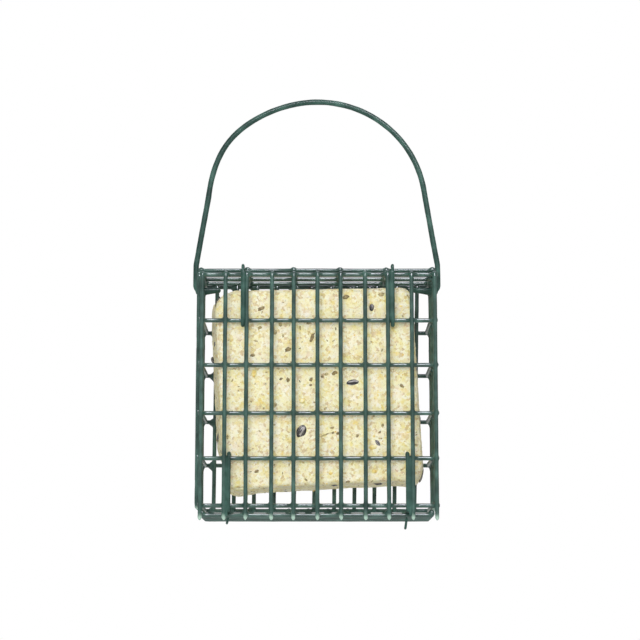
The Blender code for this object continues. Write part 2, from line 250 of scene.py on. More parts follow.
def add_wire(bm, points, radius, step=WIRE_STEP, sides=WIRE_SIDES, wobble=WIRE_WOBBLE):
    """A coated wire along the points: it wanders a little, its coat swells and thins, its ends are round."""
    places = along(points, step)
    seed = draw.uniform(0, 1000)
    for i, place in enumerate(places):
        wander = noise.noise_vector(Vector((i * step / WANDER_LENGTH, seed, 0.5)))
        freedom = min(1.0, i / STILL_STEPS, (len(places) - 1 - i) / STILL_STEPS)
        places[i] = place + wander * wobble * freedom
    tangents = []
    sizes = []
    for i in range(len(places)):
        before = places[max(i - 1, 0)]
        after = places[min(i + 1, len(places) - 1)]
        tangents.append((after - before).normalized())
        swell = noise.noise(Vector((i * step / LUMP_LENGTH, seed, 3.0)))
        sizes.append(radius * (1 + COAT_LUMPS * swell))
    # Each ring's middle, way and radius. An end is round: its rings narrow within a radius of its tip.
    stations = []
    for share in END_RINGS:
        middle = places[0] + tangents[0] * radius * (1 - share)
        stations.append((middle, tangents[0], sizes[0] * math.sqrt(1 - share**2)))
    for place, tangent, size in zip(places, tangents, sizes):
        if min((place - places[0]).length, (place - places[-1]).length) > radius:
            stations.append((place, tangent, size))
    for share in reversed(END_RINGS):
        middle = places[-1] - tangents[-1] * radius * (1 - share)
        stations.append((middle, tangents[-1], sizes[-1] * math.sqrt(1 - share**2)))
    side = stations[0][1].orthogonal().normalized()
    rings = []
    for place, tangent, size in stations:
        side = (side - tangent * side.dot(tangent)).normalized()
        across = tangent.cross(side)
        ring = []
        for k in range(sides):
            turn = 2 * math.pi * k / sides
            ring.append(bm.verts.new(place + (side * math.cos(turn) + across * math.sin(turn)) * size))
        rings.append(ring)
    for ring, after in zip(rings, rings[1:]):
        for k in range(sides):
            bm.faces.new((ring[k], ring[(k + 1) % sides], after[(k + 1) % sides], after[k]))
    bm.faces.new(rings[0][::-1])
    bm.faces.new(rings[-1])


def add_ball(bm, place, radius, fineness=2, stretch=(1.0, 1.0, 1.0)):
    """A ball of coat, stretched along x, y and z."""
    shape = Matrix.Translation(place) @ Matrix.Diagonal((*stretch, 1.0))
    bmesh.ops.create_icosphere(bm, subdivisions=fineness, radius=radius, matrix=shape)


def add_web(bm, first, second):
    """The coat at a weld: a blob between the two wires, drawn out into a thin plate in the corners."""
    ends = [Vector(end) for end in first + second]
    # The weld lies where the two wires cross, halfway from one layer of wires to the other.
    across = (ends[1] - ends[0]).cross(ends[3] - ends[2]).normalized()
    place = sum((across * across.dot(end) for end in (ends[0], ends[2])), Vector()) / 2
    for way, other in ((ends[1] - ends[0], ends[2]), (ends[3] - ends[2], ends[0])):
        way = way.normalized()
        place += way * way.dot(other)
    add_ball(bm, place, draw.uniform(*BLOB_RADIUS))
    corners = []
    for end in ends:
        way = end - place
        way -= across * across.dot(way)
        reach = min(draw.uniform(*WEB_REACH), way.length - WEB_END_ROOM)
        for layer in (-0.5, 0.5):
            corners.append(bm.verts.new(place + way.normalized() * reach + across * WEB_THICKNESS * layer))
    bmesh.ops.convex_hull(bm, input=corners)


def to_mesh(name, bm):
    """A finished form as a mesh."""
    mesh = bpy.data.meshes.new(name)
    bm.to_mesh(mesh)
    bm.free()
    return mesh


def fuse(mesh, voxel, keep, smoothing=4):
    """Runs the overlapping forms of a mesh together into one skin, as the dip does."""
    holder = add_object("holder", mesh)
    skin = holder.modifiers.new("skin", "REMESH")
    skin.mode = "VOXEL"
    skin.voxel_size = voxel
    even = holder.modifiers.new("even", "SMOOTH")
    even.factor = 0.5
    even.iterations = smoothing
    fewer = holder.modifiers.new("fewer", "DECIMATE")
    fewer.ratio = keep
    fused = bpy.data.meshes.new_from_object(holder.evaluated_get(bpy.context.evaluated_depsgraph_get()))
    bpy.data.objects.remove(holder)
    # Thinning a skin can leave two triangles on the same three corners. One of them goes.
    fused.validate()
    return fused


def add_piece(name, mesh, material, body, node=None):
    """Puts a finished mesh in the scene: its material, the body it moves with, the CAD node it stands for."""
    mesh.shade_smooth()
    mesh.materials.clear()
    mesh.materials.append(material)
    piece = add_object(name, mesh)
    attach(piece, body)
    if node:
        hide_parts(node)
    return piece


def panel_form(long_wires, cross_wires):
    """One dipped mesh panel: its two layers of wires, and the webs of coat where they cross."""
    bm = bmesh.new()
    for wire in long_wires + cross_wires:
        add_wire(bm, wire, WIRE_RADIUS + SMOOTHING_LOSS)
    for first in long_wires:
        for second in cross_wires:
            add_web(bm, first, second)
    return bm


def add_coated(node, bm, body, coat=vinyl, voxel=VOXEL, keep=KEPT_SHARE):
    """A piece in its coat, in place of its CAD solid."""
    mesh = fuse(to_mesh("coated_" + node, bm), voxel, keep)
    return add_piece("coated_" + node, mesh, coat, body, node)


back_low, back_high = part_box("back_panel")
back_upright_y = back_low.y + WIRE_RADIUS
back_cross_y = back_high.y - WIRE_RADIUS
back_uprights = []
for i in range(UPRIGHTS):
    x = BACK_SHIFT + BACK_PITCH * (i - MIDDLE_UPRIGHT)
    foot_x = x * BACK_TAPER - BACK_LEAN
    back_uprights.append(((foot_x, back_upright_y, back_low.z), (x + BACK_LEAN, back_upright_y, back_high.z)))
back_crosswise = []
for height in CROSS_HEIGHTS + [BACK_TOP_CROSS]:
    z = CAGE_ZERO_Z + height
    back_crosswise.append(((back_low.x, back_cross_y, z), (back_high.x, back_cross_y, z)))
add_coated("back_panel", panel_form(back_uprights, back_crosswise), "cage")


# Top and bottom panels: four long wires from side to side, with six short wires across them.
# The top one lies over the side panels, its short wires pressed deep into the long ones by the welding.
# The bottom one's short wires stand inside the cage.
HALF_INCH = 12.7 * MM
depth_wires_y = [(i - 1.5) * HALF_INCH for i in range(4)]
SHORT_WIRES_X = [(i - 2.5) * INCH for i in range(6)]
TOP_PRESS = 1.2 * MM
BOTTOM_OUTER_X = 61.8 * MM
long_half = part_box("bottom_panel")[1].x
for name in ("top_panel", "bottom_panel"):
    low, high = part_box(name)
    long_z = low.z + WIRE_RADIUS
    short_z = high.z - WIRE_RADIUS - (TOP_PRESS if name == "top_panel" else 0.0)
    places_x = list(SHORT_WIRES_X)
    if name == "bottom_panel":
        places_x[0], places_x[-1] = -BOTTOM_OUTER_X, BOTTOM_OUTER_X
    long_wires = [((-long_half, y, long_z), (long_half, y, long_z)) for y in depth_wires_y]
    short_wires = [((x, low.y, short_z), (x, high.y, short_z)) for x in places_x]
    add_coated(name, panel_form(long_wires, short_wires), "cage")


# Side panels: four uprights outside, six short wires welded inside them.
# The uprights' lower ends are cut just under the lowest short wire and show as round tips, painted pale as if
# lit from below.
WELD_DEPTH = 0.3 * MM
LAYER = 2 * WIRE_RADIUS - WELD_DEPTH
SIDE_TOP_SHORT_HEIGHT = 129.5 * MM
# How high the painted light on the uprights' lower tips reaches, and how far it fades.
SIDE_PAINTED_UNDERLIGHT_TOP = 2.0 * MM
SIDE_PAINTED_UNDERLIGHT_FADE = 2.0 * MM


def set_painted_underlight(piece, low_z, top, fade):
    """Marks the lowest coat for painted pale light, as if lit from below: none above the top height, a fade
    below that.
    """
    heights = np.array([vert.co.z for vert in piece.data.vertices]) - low_z
    painted_underlight = piece.data.attributes.new("painted_underlight", "FLOAT", "POINT")
    painted_underlight.data.foreach_set("value", np.clip((top - heights) / fade, 0, 1).astype(np.float32))


for name, side in (("left_side_panel", -1), ("right_side_panel", 1)):
    low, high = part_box(name)
    upright_x = high.x - WIRE_RADIUS if side > 0 else low.x + WIRE_RADIUS
    short_x = upright_x - side * LAYER
    uprights = [((upright_x, y, low.z), (upright_x, y, high.z)) for y in depth_wires_y]
    heights = CROSS_HEIGHTS + [SIDE_TOP_SHORT_HEIGHT]
    shorts = [((short_x, low.y, CAGE_ZERO_Z + h), (short_x, high.y, CAGE_ZERO_Z + h)) for h in heights]
    side_panel = add_coated(name, panel_form(uprights, shorts), "cage")
    set_painted_underlight(side_panel, low.z, SIDE_PAINTED_UNDERLIGHT_TOP, SIDE_PAINTED_UNDERLIGHT_FADE)


# Bail: one rod bent by hand over a former into an arch, with two straight legs and feet turned inward.
# The feet lie under the top short wires of the sides and let the cage swing. The coat ran down into them.
BAIL_RADIUS = 1.5 * MM
# The coat that it carries beyond the radius of its solid.
BAIL_COAT = 0.12 * MM
BAIL_STEP = 1.2 * MM
BAIL_WOBBLE = 0.12 * MM
FINE_SIDES = 16
FOOT_HEIGHT = 126.5 * MM
FOOT_END_X = 53.6 * MM
LEG_X = 67.7 * MM
FOOT_BEND = 2.6 * MM
LEG_STRAIGHT = 14.5 * MM
ARCH_RADIUS = 61.2 * MM
ARCH_LEAN = 0.4 * MM
ARCH_SLANT = math.radians(9.6)
# The left shoulder of the arch stands out a little, as it was bent.
SHOULDER_SWELL = 1.6 * MM
SHOULDER_ANGLE = math.radians(143)
SHOULDER_WIDTH = math.radians(20)
LEG_STEPS = 8
ARCH_STEPS = 40
foot_z = CAGE_ZERO_Z + FOOT_HEIGHT
arch_centre_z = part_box("bail")[1].z - BAIL_RADIUS - ARCH_RADIUS


def bell(away, width):
    """A smooth swelling: one in the middle, next to nothing from twice its width on."""
    return math.exp(-((away / width) ** 2))


def bail_half(side):
    """The bail's middle line from one foot to just below the top of the arch."""
    points = [(side * FOOT_END_X, foot_z), (side * (LEG_X - FOOT_BEND), foot_z)]
    # The bend from the foot up into the leg.
    for degrees in range(-80, 1, 10):
        turn = math.radians(degrees)
        x = LEG_X - FOOT_BEND + FOOT_BEND * math.cos(turn)
        points.append((side * x, foot_z + FOOT_BEND * (1 + math.sin(turn))))
    leg_top = Vector((LEG_X, foot_z + LEG_STRAIGHT))
    arch_start_x = ARCH_RADIUS * math.cos(ARCH_SLANT)
    arch_start = Vector((arch_start_x, arch_centre_z + ARCH_RADIUS * math.sin(ARCH_SLANT)))
    slant = [leg_top.lerp(arch_start, i / LEG_STEPS) for i in range(LEG_STEPS)]
    points += [(side * p.x, p.y) for p in slant]
    for i in range(ARCH_STEPS):
        angle = ARCH_SLANT + (math.pi / 2 - ARCH_SLANT) * i / ARCH_STEPS
        from_right = angle if side > 0 else math.pi - angle
        reach = ARCH_RADIUS + SHOULDER_SWELL * bell(from_right - SHOULDER_ANGLE, SHOULDER_WIDTH)
        x = side * reach * math.cos(angle) + ARCH_LEAN * math.sin(angle)
        points.append((x, arch_centre_z + reach * math.sin(angle)))
    return [(x, 0.0, z) for x, z in points]


bail_bm = bmesh.new()
bail_line = bail_half(-1) + bail_half(1)[::-1]
add_wire(bail_bm, bail_line, BAIL_RADIUS + BAIL_COAT, BAIL_STEP, FINE_SIDES, BAIL_WOBBLE)
# Thick coat on each foot: fullest at the bend, where it hangs a little below the rod, and gone at the end.
RUN_FROM_X = 65.4 * MM
RUN_TO_X = 54.6 * MM
RUN_DROP = 0.6 * MM
RUN_RADIUS = 2.5 * MM
RUN_END_RADIUS = 1.2 * MM
for side in (-1, 1):
    thick = Vector((side * RUN_FROM_X, 0, foot_z - RUN_DROP))
    thin = Vector((side * RUN_TO_X, 0, foot_z))
    aim = (thin - thick).to_track_quat("Z", "Y").to_matrix().to_4x4()
    middle = Matrix.Translation((thick + thin) / 2)
    bmesh.ops.create_cone(
        bail_bm,
        cap_ends=True,
        segments=20,
        radius1=RUN_RADIUS,
        radius2=RUN_END_RADIUS,
        depth=(thin - thick).length,
        matrix=middle @ aim,
    )
    add_ball(bail_bm, thick, RUN_RADIUS, fineness=3)
add_coated("bail", bail_bm, "bail", coat=rubbed_vinyl)


# Suet cake: rendered fat cast in a tray with cracked corn, oats and millet stirred in.
# It is pale, greasy and granular, crumbles at its edges and shows cut grain on its faces.
def suet_with_grain():
    """Rendered fat with meal in it: pale cream, waxy, with grain of about 1.4 mm and brown bran specks."""
    material, tree, shader = start_material("suet_with_grain")
    place = add_node(tree, "ShaderNodeTexCoord").outputs["Object"]
    # Meal stirred in unevenly: pinkish fat and yellower corn in batches of about 8 mm.
    batches = add_node(
        tree, "ShaderNodeTexNoise", {"Vector": place, "Scale": 1 / (8 * MM), "Detail": 4.0, "Roughness": 0.6}
    )
    base = add_node(
        tree,
        "ShaderNodeValToRGB",
        {"Fac": batches.outputs["Fac"]},
        stops=((0.32, "#F9E9D2"), (0.5, "#F7F1C6"), (0.66, "#F0E784")),
    )
    # Single grains, 1.4 mm across, each of its own tint; the bend keeps them from looking like cells.
    bend = add_node(tree, "ShaderNodeTexNoise", {"Vector": place, "Scale": 1 / (1.4 * MM), "Detail": 3.0})
    bend_way = add_node(
        tree, "ShaderNodeVectorMath", {0: bend.outputs["Color"], 1: (0.5,) * 3}, operation="SUBTRACT"
    )
    bend_size = add_node(
        tree, "ShaderNodeVectorMath", {0: bend_way, 1: (3.0 * MM,) * 3}, operation="MULTIPLY"
    )
    bent = add_node(tree, "ShaderNodeVectorMath", {0: place, 1: bend_size}, operation="ADD")
    grains = add_node(tree, "ShaderNodeTexVoronoi", {"Vector": bent, "Scale": 1 / (1.4 * MM)})
    grain_kind = add_node(tree, "ShaderNodeSeparateColor", {"Color": grains.outputs["Color"]})
    pale_tints = ((0.0, "#FFFDEE"), (0.4, "#FAF4CE"), (0.66, "#ECDC8E"), (0.78, "#FBF4DC"))
    tan_tints = ((0.9, "#DDC482"), (1.0, "#C4A068"))
    grain_colour = add_node(
        tree,
        "ShaderNodeValToRGB",
        {"Fac": grain_kind.outputs["Red"]},
        stops=pale_tints + tan_tints,
    )
    grained = add_node(
        tree,
        "ShaderNodeMix",
        {"Factor": 0.62, "A": base.outputs["Color"], "B": grain_colour.outputs["Color"]},
        data_type="RGBA",
    )
    # Corn chips under the surface glow through the fat in warm patches of about 4 mm.
    corn = add_node(tree, "ShaderNodeTexNoise", {"Vector": bent, "Scale": 1 / (5.5 * MM), "Detail": 2.0})
    corn_here = add_node(
        tree,
        "ShaderNodeMapRange",
        {"Value": corn.outputs["Fac"], "From Min": 0.6, "From Max": 0.72, "To Max": 0.6},
    )
    with_corn = add_node(
        tree, "ShaderNodeMix", {"Factor": corn_here, "A": grained, "B": linear("#F0D766")}, data_type="RGBA"
    )
    # Pits of about 0.6 mm between the grains hold shade and crumbs of husk.
    pits = add_node(
        tree,
        "ShaderNodeTexNoise",
        {"Vector": place, "Scale": 1 / (1.1 * MM), "Detail": 4.0, "Roughness": 0.7},
    )
    pit_here = add_node(
        tree,
        "ShaderNodeMapRange",
        {"Value": pits.outputs["Fac"], "From Min": 0.46, "From Max": 0.3, "To Max": 0.6},
    )
    with_pits = add_node(
        tree, "ShaderNodeMix", {"Factor": pit_here, "A": with_corn, "B": linear("#B0A062")}, data_type="RGBA"
    )
    # Bran and husk flecks of up to 1.5 mm, ragged, olive to reddish brown, some two to a square centimetre.
    flecks = add_node(tree, "ShaderNodeTexVoronoi", {"Vector": bent, "Scale": 1 / (2.6 * MM)})
    fleck_kind = add_node(tree, "ShaderNodeSeparateColor", {"Color": flecks.outputs["Color"]})
    fleck_size = add_node(
        tree,
        "ShaderNodeMapRange",
        {
            "Value": fleck_kind.outputs["Green"],
            "From Min": 0.86,
            "From Max": 1.0,
            "To Min": 0.02,
            "To Max": 0.36,
        },
    )
    fleck_here = add_node(
        tree, "ShaderNodeMath", {0: fleck_size, 1: flecks.outputs["Distance"]}, operation="SUBTRACT"
    )
    fleck_soft = add_node(tree, "ShaderNodeMapRange", {"Value": fleck_here, "From Max": 0.14, "To Max": 0.6})
    fleck_colour = add_node(
        tree,
        "ShaderNodeValToRGB",
        {"Fac": fleck_kind.outputs["Blue"]},
        stops=((0.0, "#665A2E"), (0.5, "#8A7840"), (1.0, "#A0663E")),
    )
    with_bran = add_node(
        tree,
        "ShaderNodeMix",
        {"Factor": fleck_soft, "A": with_pits, "B": fleck_colour.outputs["Color"]},
        data_type="RGBA",
    )
    tree.links.new(output(with_bran), shader.inputs["Base Color"])
    # Fat shines a little between dull grains.
    dullness = add_node(
        tree, "ShaderNodeMapRange", {"Value": grains.outputs["Distance"], "To Min": 0.75, "To Max": 0.5}
    )
    tree.links.new(dullness.outputs["Result"], shader.inputs["Roughness"])
    # Grit on top of the modelled grain: the pits above, some 0.2 mm deep.
    grit = add_node(
        tree, "ShaderNodeBump", {"Height": pits.outputs["Fac"], "Strength": 0.9, "Distance": 0.5 * MM}
    )
    tree.links.new(grit.outputs["Normal"], shader.inputs["Normal"])
    # Light goes about a millimetre into the fat, red light deepest.
    shader.inputs["Subsurface Weight"].default_value = 0.1
    shader.inputs["Subsurface Radius"].default_value = (1.0, 0.7, 0.4)
    shader.inputs["Subsurface Scale"].default_value = 1.2 * MM
    shader.inputs["IOR"].default_value = 1.44
    return material


suet = suet_with_grain()
CAKE_GRID = 1.15 * MM
MERGE_DISTANCE = 0.01 * MM
# The fat slumped as it set: its top is lower than the tray's, and less slanted.
TOP_SLANT = math.radians(2.0)
TOP_SETTLED = 1.2 * MM
# Corners fuller than the tray's: how far across, bottom or top, how far they are pushed up, and how wide.
CORNER_FILLS = (
    (-45 * MM, 0.0, -1.6 * MM, 9.0 * MM),
    (54 * MM, 0.0, -2.5 * MM, 7.0 * MM),
    (53.5 * MM, 1.0, 3.2 * MM, 5.5 * MM),
)
# The left side lost a chip low down.
CHIP_X = -56 * MM
CHIP_ABOVE_BOTTOM = 11 * MM
CHIP_DEPTH = 4.0 * MM
CHIP_REACH = 8.5 * MM
# Grain on every face: how wide and how high its lumps are, and how far the face is sunk to keep them low.
GRAIN_RELIEF = ((13 * MM, 0.26 * MM), (4.5 * MM, 0.2 * MM), (2.1 * MM, 0.22 * MM))
GRAIN_SINK = 0.12 * MM
# Crumbs lost from the edges: how wide and how deep. An edge is where the normal runs along no single axis.
CRUMBLE = ((7.5 * MM, 3.4 * MM), (2.6 * MM, 1.0 * MM))
CRUMBLE_OFFSET = Vector((7, 3, 5))
CRUMBLE_FROM = 0.05
FLAT_NORMAL = 0.985
EDGE_SOFTNESS = 0.2

cake_bm = bmesh.new()
cake_bm.from_mesh(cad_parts["suet_cake"].data)
bmesh.ops.remove_doubles(cake_bm, verts=cake_bm.verts, dist=MERGE_DISTANCE)
cake_mesh = fuse(to_mesh("suet_block", cake_bm), CAKE_GRID, keep=1.0, smoothing=2)
normals = [vert.normal.copy() for vert in cake_mesh.vertices]
cake_low, cake_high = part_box("suet_cake")
cake_middle = (cake_low + cake_high) / 2
for vert in cake_mesh.vertices:
    place = vert.co
    share = (place.z - cake_low.z) / (cake_high.z - cake_low.z)
    settled = share * (TOP_SETTLED + (place.x - cake_middle.x) * math.tan(TOP_SLANT))
    fill = 0.0
    for corner_x, corner_share, rise, reach in CORNER_FILLS:
        corner_z = cake_low.z + corner_share * (cake_high.z - cake_low.z)
        away = math.hypot(place.x - corner_x, place.z - corner_z)
        fill += rise * bell(away, reach)
    place.z += fill - settled
    from_chip = math.hypot(place.x - CHIP_X, place.z - cake_low.z - CHIP_ABOVE_BOTTOM)
    place.x += CHIP_DEPTH * bell(from_chip, CHIP_REACH)
for vert, normal in zip(cake_mesh.vertices, normals):
    place = vert.co.copy()
    push = -GRAIN_SINK
    for size, height in GRAIN_RELIEF:
        push += noise.noise(place / size) * height
    edge = min(1.0, max(0.0, (FLAT_NORMAL - max(abs(c) for c in normal)) / EDGE_SOFTNESS))
    for size, depth in CRUMBLE:
        lost = max(0.0, noise.noise(place / size + CRUMBLE_OFFSET) - CRUMBLE_FROM)
        push -= edge * depth * lost
    vert.co = place + normal * push
add_piece("suet_block", cake_mesh, suet, "cage", "suet_cake")


# Grain: cracked corn, millet, oat husk and bran, stirred into the fat and so in every face of the cake.
# Each bit is sunk for the larger part, under a film of fat, so only its back stands out of the face.
def cracked_corn():
    """Cracked corn and millet: floury yellow with a horny orange skin, dull under its film of fat."""
    material, tree, shader = start_material("cracked_corn")
    place = add_node(tree, "ShaderNodeTexCoord").outputs["Object"]
    flour = add_node(tree, "ShaderNodeTexNoise", {"Vector": place, "Scale": 1 / (2.2 * MM), "Detail": 3.0})
    colour = add_node(
        tree,
        "ShaderNodeValToRGB",
        {"Fac": flour.outputs["Fac"]},
        stops=((0.3, "#F8F2CC"), (0.5, "#F2E190"), (0.68, "#E2BC54")),
    )
    tree.links.new(colour.outputs["Color"], shader.inputs["Base Color"])
    bump = add_node(
        tree, "ShaderNodeBump", {"Height": flour.outputs["Fac"], "Strength": 0.5, "Distance": 0.2 * MM}
    )
    tree.links.new(bump.outputs["Normal"], shader.inputs["Normal"])
    shader.inputs["Roughness"].default_value = 0.5
    return material


def oat_husk(name, tints):
    """Oat husk and bran: thin papery flakes, straw to olive brown, streaked and matt."""
    material, tree, shader = start_material(name)
    place = add_node(tree, "ShaderNodeTexCoord").outputs["Object"]
    streaks = add_node(tree, "ShaderNodeTexNoise", {"Vector": place, "Scale": 1 / (1.6 * MM), "Detail": 3.0})
    colour = add_node(
        tree,
        "ShaderNodeValToRGB",
        {"Fac": streaks.outputs["Fac"]},
        stops=tuple(zip((0.3, 0.5, 0.66), tints)),
    )
    tree.links.new(colour.outputs["Color"], shader.inputs["Base Color"])
    shader.inputs["Roughness"].default_value = 0.7
    return material


surface = BVHTree.FromPolygons(
    [vert.co for vert in cake_mesh.vertices], [list(face.vertices) for face in cake_mesh.polygons]
)
faces = cake_mesh.polygons


def add_bit(bm, place, outward, turn, size, ragged, fineness):
    """One bit of grain: a ball squeezed to its length, width and height, its corners pushed about."""
    verts = bmesh.ops.create_icosphere(bm, subdivisions=fineness, radius=0.5)["verts"]
    for vert in verts:
        push = 1.0 + draw.uniform(-ragged, ragged)
        vert.co = Vector([c * s * push for c, s in zip(vert.co, size)])
    flat = outward.to_track_quat("Z", "Y").to_matrix().to_4x4()
    spin = Matrix.Rotation(turn, 4, "Z")
    bmesh.ops.transform(bm, matrix=Matrix.Translation(place) @ flat @ spin, verts=verts)


yellow_grain = cracked_corn()
straw_husk = oat_husk("oat_husk", ("#DCCB98", "#B5A46E", "#8A7B50"))
dark_bran = oat_husk("dark_bran", ("#AE9C68", "#8E7C4E", "#6B5B3C"))
# Each kind: its material, how many, length, width and height in mm, how ragged, how finely modelled, and how
# deep its middle lies under the face, as a share of its height.
GRAIN_KINDS = {
    "corn_chips": (yellow_grain, 170, (3.4, 2.6, 1.8), 0.28, 1, 0.52),
    "millet": (yellow_grain, 260, (1.9, 1.7, 1.6), 0.05, 2, 0.35),
    "oat_husks": (straw_husk, 190, (2.3, 1.1, 0.7), 0.22, 1, 0.2),
    "bran_flakes": (dark_bran, 60, (1.6, 1.1, 0.7), 0.3, 1, 0.25),
}
GRAIN_GROWTH = (0.6, 1.25)
# Larger bits on the front, where the photograph shows them: across and up from the middle of the cage's
# bottom front wire, length and width, all in mm, and the way their length runs, in degrees.
FRONT_BITS = {
    "corn_chips": [(-34.0, 77.3, 4.4, 3.2, 70), (30.3, 36.9, 4.0, 3.0, 20), (7.8, 23.2, 3.4, 2.6, 60),
                   (31.0, 23.9, 3.6, 2.4, 10), (-7.8, 62.3, 3.6, 2.8, 0)],
    "oat_husks": [(-31.2, 102.6, 2.6, 1.6, 20), (-20.1, 104.2, 2.4, 1.4, 120), (-4.5, 105.3, 2.6, 1.8, 40),
                  (8.4, 47.5, 2.2, 1.4, 10), (22.0, 43.1, 2.2, 1.5, 60), (35.8, 48.8, 2.2, 1.5, 60),
                  (35.3, 121.0, 3.6, 2.2, 10), (-23.1, 100.2, 3.2, 2.2, 100), (5.2, 76.8, 2.2, 1.6, 0),
                  (-22.7, 60.0, 2.8, 1.8, 75), (4.6, 43.6, 6.4, 0.8, 22)],
    "bran_flakes": [(-15.7, 90.4, 3.2, 2.2, 30), (9.7, 77.3, 3.2, 2.0, 30), (3.1, 75.5, 1.8, 1.4, 0),
                    (-15.7, 73.7, 2.6, 1.8, 80), (-19.4, 74.2, 1.8, 1.3, 20), (-3.1, 73.9, 2.4, 1.5, 60),
                    (-3.4, 70.8, 1.7, 1.2, 0), (-35.1, 87.2, 2.8, 1.6, 10), (11.5, 44.4, 1.9, 1.5, 40),
                    (8.7, 44.7, 1.6, 1.1, 30), (34.2, 45.0, 1.7, 1.2, 60), (-30.6, 113.0, 4.2, 2.0, 28),
                    (15.9, 119.6, 3.6, 2.2, 20), (46.5, 70.4, 3.0, 1.7, -40), (-32.5, 23.8, 2.8, 1.6, 15),
                    (16.8, 18.3, 2.6, 1.5, 12), (-2.6, 96.9, 5.4, 1.9, 67)],
}
FRONT_BIT_HEIGHT = 0.9 * MM
FRONT_BIT_FINENESS = 2
FORWARD = Vector((0, -1, 0))


def on_front(x, up):
    """The place on the cake's front face straight behind a point of the door, which is given in mm."""
    before_face = Vector((x * MM, DOOR_FRONT_Y, CAGE_ZERO_Z + up * MM))
    return surface.ray_cast(before_face, -FORWARD)[0]


for kind, (material, count, size, ragged, fineness, sunk) in GRAIN_KINDS.items():
    grain_bm = bmesh.new()
    for _ in range(count):
        face = faces[draw.randrange(len(faces))]
        grown = draw.uniform(*GRAIN_GROWTH)
        dims = [s * grown * MM for s in size]
        place = face.center - face.normal * dims[2] * sunk
        add_bit(grain_bm, place, face.normal, draw.uniform(0, math.tau), dims, ragged, fineness)
    for x, up, length, width, turn in FRONT_BITS.get(kind, []):
        dims = (length * MM, width * MM, FRONT_BIT_HEIGHT)
        add_bit(grain_bm, on_front(x, up), FORWARD, math.radians(turn), dims, ragged, FRONT_BIT_FINENESS)
    add_piece(kind, to_mesh(kind, grain_bm), material, "cage")


# Sunflower seeds in their hulls, stirred in with the grain and lying flat in the cake's faces.
# On the front they lie as the photograph shows them, on the other faces as they fell.
def sunflower_hull():
    """Sunflower hull: near-black, fibrous along its length, with pale grey stripes and a dull shine."""
    material, tree, shader = start_material("sunflower_hull")
    # The seed's own place: along it, across it and through it. Fibres are long along it, 0.8 mm across it.
    along_seed = add_node(tree, "ShaderNodeAttribute", attribute_name="seed_place").outputs["Vector"]
    stretched = add_node(
        tree,
        "ShaderNodeVectorMath",
        {0: along_seed, 1: (1 / (7 * MM), 1 / (0.8 * MM), 1 / (0.8 * MM))},
        operation="MULTIPLY",
    )
    fibres = add_node(tree, "ShaderNodeTexNoise", {"Vector": stretched, "Scale": 1.0, "Detail": 3.0})
    colour = add_node(
        tree,
        "ShaderNodeValToRGB",
        {"Fac": fibres.outputs["Fac"]},
        stops=((0.4, "#1B1918"), (0.52, "#3A3733"), (0.6, "#8D8982"), (0.7, "#B9B4AA")),
    )
    tree.links.new(colour.outputs["Color"], shader.inputs["Base Color"])
    bump = add_node(
        tree, "ShaderNodeBump", {"Height": fibres.outputs["Fac"], "Strength": 0.5, "Distance": 0.15 * MM}
    )
    tree.links.new(bump.outputs["Normal"], shader.inputs["Normal"])
    shader.inputs["Roughness"].default_value = 0.45
    return material


# A seed's height and how deep it is sunk, as shares of its width, and how much and how suddenly it narrows
# towards its point.
SEED_HEIGHT = 0.6
SEED_SINK = 0.14
SEED_POINT = 0.75
SEED_TAPER = 1.6


def add_seed(bm, own_place, place, outward, turn, length, width):
    """One seed: a drop with a pointed end, lying flat in the face with part of it sunk."""
    verts = bmesh.ops.create_icosphere(bm, subdivisions=3, radius=0.5)["verts"]
    flat = outward.to_track_quat("Z", "Y").to_matrix().to_4x4()
    spin = Matrix.Rotation(turn, 4, "Z")
    seed_offset = Vector((0, 0, draw.uniform(0, 1)))
    for vert in verts:
        x, y, z = vert.co
        slim = 1.0 - SEED_POINT * max(0.0, x * 2) ** SEED_TAPER
        vert.co = Vector((x * length, y * width * slim, z * width * SEED_HEIGHT * slim))
        vert[own_place] = vert.co + seed_offset
    shift = Matrix.Translation(place - outward * width * SEED_SINK)
    bmesh.ops.transform(bm, matrix=shift @ flat @ spin, verts=verts)


# Each front seed: across and up on the face from the middle of the cage's bottom front wire, length and
# width, all in mm, and the way its point looks, in degrees anticlockwise from the right.
FRONT_SEEDS = [
    (-8.6, 45.2, 9.6, 6.2, 237),
    (19.9, 72.3, 9.2, 3.6, 8),
    (30.2, 114.2, 5.4, 3.2, 84),
    (33.2, 39.0, 4.6, 2.3, -50),
]
# The other seeds keep away from the front and its edges. Lengths are in mm, widths are shares of the length.
OTHER_SEEDS = 46
OTHERS_FROM_FRONT = 8 * MM
OTHER_LENGTHS = (3.0, 9.0)
OTHER_WIDTHS = (0.4, 0.6)
hull = sunflower_hull()
seed_bm = bmesh.new()
own_place = seed_bm.verts.layers.float_vector.new("seed_place")
for x, up, length, width, turn in FRONT_SEEDS:
    add_seed(seed_bm, own_place, on_front(x, up), FORWARD, math.radians(turn), length * MM, width * MM)
elsewhere = [face for face in faces if face.center.y > cake_low.y + OTHERS_FROM_FRONT]
for _ in range(OTHER_SEEDS):
    face = elsewhere[draw.randrange(len(elsewhere))]
    length = draw.uniform(*OTHER_LENGTHS) * MM
    turn = draw.uniform(0, math.tau)
    width = length * draw.uniform(*OTHER_WIDTHS)
    add_seed(seed_bm, own_place, face.center, face.normal, turn, length, width)
add_piece("sunflower_seeds", to_mesh("sunflower_seeds", seed_bm), hull, "cage")
